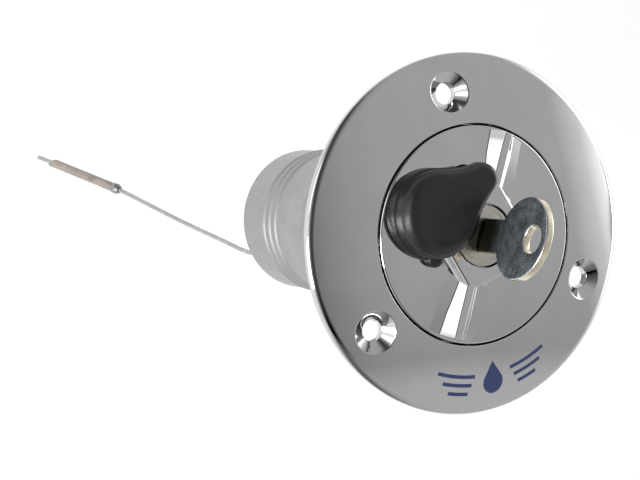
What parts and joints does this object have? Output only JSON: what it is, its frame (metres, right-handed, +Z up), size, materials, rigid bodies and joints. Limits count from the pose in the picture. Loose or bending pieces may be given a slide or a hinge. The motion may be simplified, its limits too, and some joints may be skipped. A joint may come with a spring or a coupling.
{
  "type": "locking deck fill cap",
  "caption": "Domed stainless deck filler with a hose neck, a threaded cap with a key lock, a swinging black dust cover and a retaining wire with an end sleeve.",
  "frame": {"origin": "centre of the flange's underside, in the plane of the deck that holds the filler up", "axes": "+Z up out of the deck along the cap's axis, one screw hole on +Y; the neck points along -Z"},
  "size_m": [0.09, 0.09, 0.2306],
  "materials": {
    "polished_steel": "mirror-polished 316 stainless; the neck is matt bead-blasted",
    "plain_steel": "plain turned stainless",
    "lock_metal": "nickel-plated, slightly warm grey",
    "key_plate": "bright nickel plate with faint mottling, brass showing at the edges",
    "wafer_brass": "plain stamped brass",
    "cover_rubber": "satin black moulded rubber",
    "nitrile": "matt black nitrile",
    "wire_steel": "stranded stainless wire rope",
    "collar_steel": "dull grey crimped collar",
    "sleeve_metal": "beige-brown satin sleeve"
  },
  "bodies": {
    "deck_body": {"filler_body": "polished_steel"},
    "wire_hanger": {"cable_eyelet": "plain_steel", "retaining_cable": "wire_steel", "sleeve_collar": "collar_steel", "end_sleeve": "sleeve_metal"},
    "cap": {"cap_shell": "polished_steel", "cap_seal_ring": "nitrile", "lock_housing": "plain_steel", "lock_housing_nut": "plain_steel", "lock_seal_ring": "nitrile", "cover_pivot_stud": "plain_steel"},
    "lock_cylinder": {"lock_plug": "lock_metal", "lock_wafer_1": "wafer_brass", "lock_wafer_2": "wafer_brass", "lock_wafer_3": "wafer_brass", "lock_wafer_4": "wafer_brass", "lock_wafer_5": "wafer_brass", "wafer_spring_1": "plain_steel", "wafer_spring_2": "plain_steel", "wafer_spring_3": "plain_steel", "wafer_spring_4": "plain_steel", "wafer_spring_5": "plain_steel", "lock_cam": "plain_steel", "cam_washer": "plain_steel", "cam_screw": "plain_steel"},
    "key": {"key": "key_plate"},
    "cover": {"dust_cover": "cover_rubber"}
  },
  "joints": [
    {"name": "cap_lift", "type": "slide", "parent": "deck_body", "child": "wire_hanger", "axis": [0, 0, 1], "range_m": [0, 0.008]},
    {"name": "cap_turn", "type": "hinge", "parent": "wire_hanger", "child": "cap", "pos_m": [0, 0, 0], "axis": [0, 0, 1], "range_deg": [0, 720]},
    {"name": "lock_turn", "type": "hinge", "parent": "cap", "child": "lock_cylinder", "pos_m": [0, 0, 0], "axis": [0, 0, 1], "range_deg": [0, 90]},
    {"name": "key_pull", "type": "slide", "parent": "lock_cylinder", "child": "key", "axis": [0, 0, 1], "range_m": [0, 0.022]},
    {"name": "cover_swing", "type": "hinge", "parent": "cap", "child": "cover", "pos_m": [0.00015, 0.01425, 0.0125], "axis": [0, 0, -1], "range_deg": [0, 55]}
  ],
  "couplings": [
    {"joint": "cap_lift", "follows": "cap_turn", "m_per_rad": 0.00063662}
  ]
}
